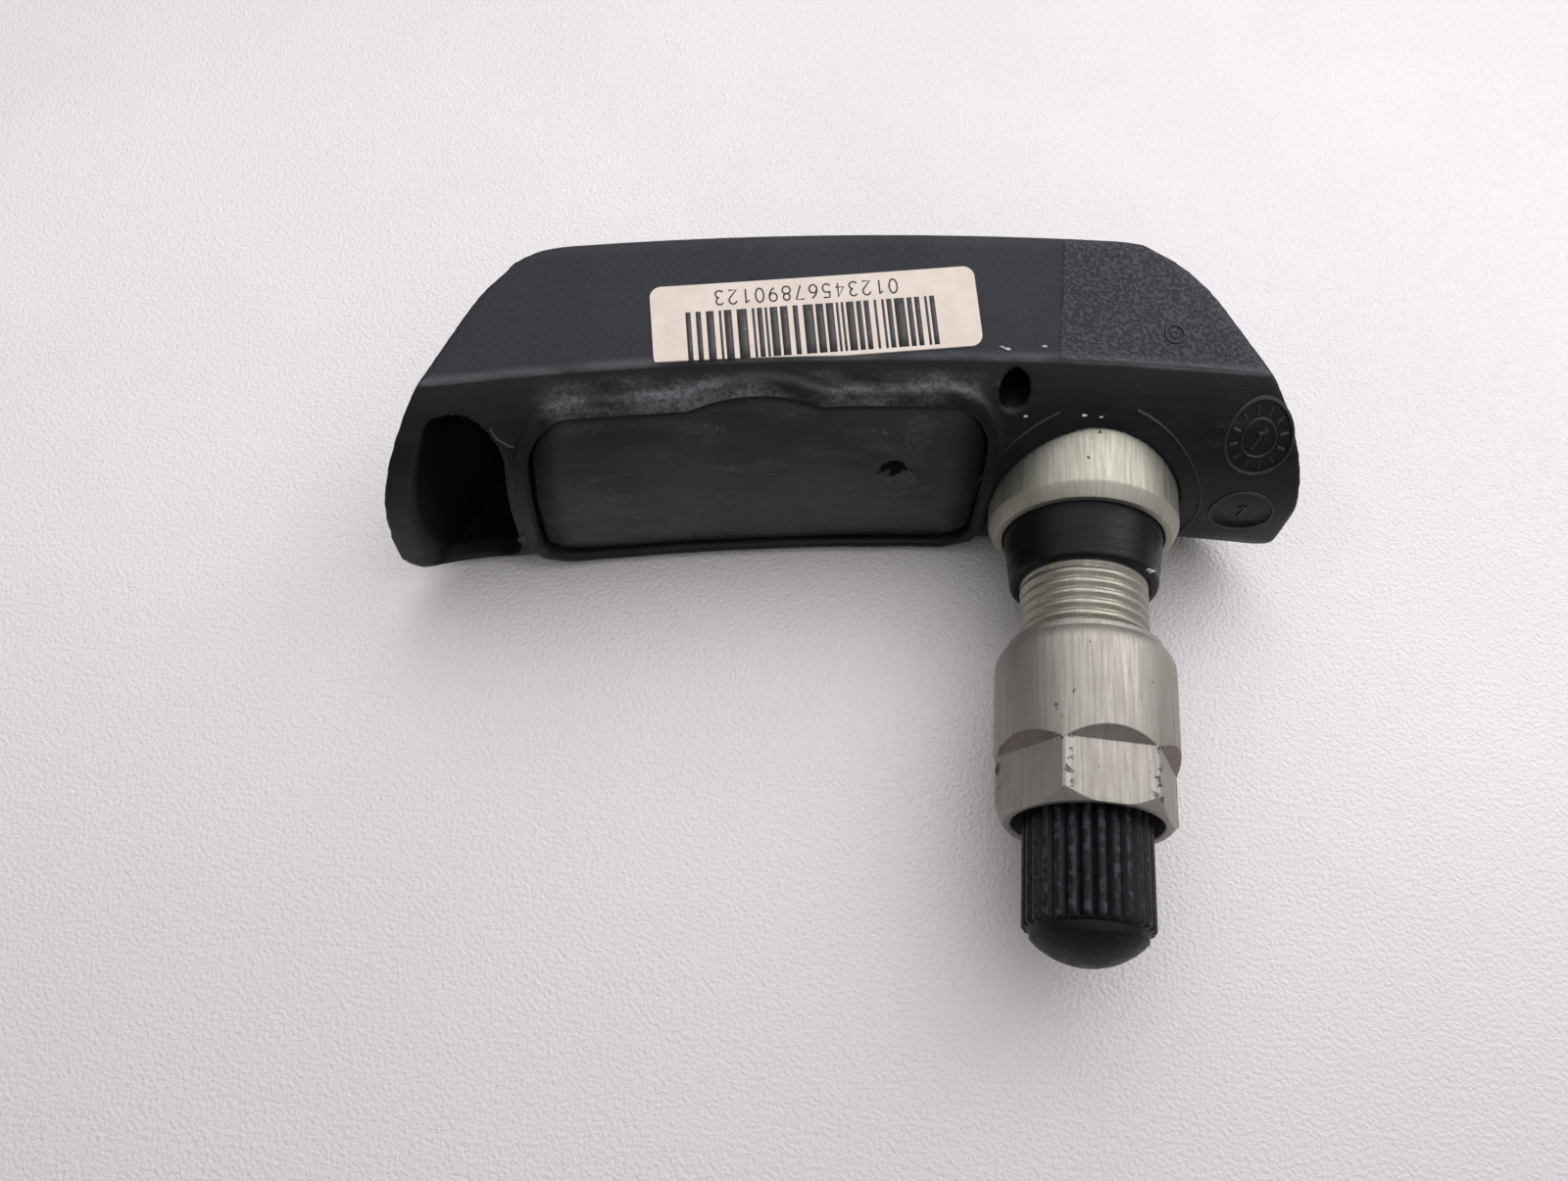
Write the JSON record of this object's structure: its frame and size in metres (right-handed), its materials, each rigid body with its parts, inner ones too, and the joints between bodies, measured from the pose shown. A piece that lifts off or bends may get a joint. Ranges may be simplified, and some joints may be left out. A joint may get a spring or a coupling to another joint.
{
  "type": "tyre pressure sensor",
  "caption": "Clamp-in tyre pressure sensor: a curved black housing with an end pocket and a potted bay, on a metal valve stem with a rubber bush, a union nut and a ribbed dust cap.",
  "frame": {"origin": "on the valve's axis, in the plane of the valve head's front rim, which seats against the inside of the wheel rim", "axes": "+X away from the electronics bay along the housing, -Y along the valve towards the dust cap, +Z out of the label face; the wheel's own axis is parallel to Z"},
  "size_m": [0.0731, 0.0544, 0.0214],
  "materials": {
    "housing": "moulded, near-black glass-filled plastic, label face finer and a little greyer",
    "potting": "cured dark grey potting compound, semi-gloss",
    "label": "cream sticker with dark printed bars",
    "valve_stem": "turned, satin, slightly warm",
    "union_nut": "turned and milled, satin, scuffed",
    "rim_grommet": "bluish black rubber",
    "dust_cap": "black moulded plastic with ribs",
    "cap_seal": "black rubber",
    "fixing_screw": "steel",
    "circuit_board": "green board",
    "sensor_chip": "dark package",
    "rf_crystal": "metal can",
    "capacitor_front": "ceramic",
    "capacitor_rear": "ceramic",
    "antenna": "copper",
    "coil_core": "ferrite",
    "coil_winding": "enamelled copper",
    "battery": "steel can",
    "battery_tab_left": "nickel strip",
    "battery_tab_right": "nickel strip",
    "core_barrel": "turned brass",
    "core_gasket": "red sealing ring",
    "core_pin": "brass pin",
    "core_seal": "black rubber",
    "core_spring": "spring wire"
  },
  "bodies": {
    "sensor": {"housing": "housing", "potting": "potting", "label": "label", "valve_stem": "valve_stem", "rim_grommet": "rim_grommet", "fixing_screw": "fixing_screw", "circuit_board": "circuit_board", "sensor_chip": "sensor_chip", "rf_crystal": "rf_crystal", "capacitor_front": "capacitor_front", "capacitor_rear": "capacitor_rear", "antenna": "antenna", "coil_core": "coil_core", "coil_winding": "coil_winding", "battery": "battery", "battery_tab_left": "battery_tab_left", "battery_tab_right": "battery_tab_right", "core_barrel": "core_barrel", "core_gasket": "core_gasket", "core_spring": "core_spring"},
    "nut": {"union_nut": "union_nut"},
    "cap_carrier": {"cap_seal": "cap_seal"},
    "cap": {"dust_cap": "dust_cap"},
    "pin": {"core_pin": "core_pin", "core_seal": "core_seal"}
  },
  "joints": [
    {"name": "nut_travel", "type": "slide", "parent": "sensor", "child": "nut", "axis": [0, 1, 0], "range_m": [-0.0025, 0.005]},
    {"name": "cap_slide", "type": "slide", "parent": "sensor", "child": "cap_carrier", "axis": [0, -1, 0], "range_m": [0, 0.0071]},
    {"name": "cap_turn", "type": "hinge", "parent": "cap_carrier", "child": "cap", "pos_m": [0, -0.0203, 0], "axis": [0, -1, 0], "range_deg": [0, 3220]},
    {"name": "pin_press", "type": "slide", "parent": "sensor", "child": "pin", "axis": [0, 1, 0], "range_m": [0, 0.0012], "stiffness_N_per_m": 400, "deforming": ["core_spring"]}
  ],
  "couplings": [
    {"joint": "cap_turn", "follows": "cap_slide", "rad_per_m": 7915.4}
  ]
}
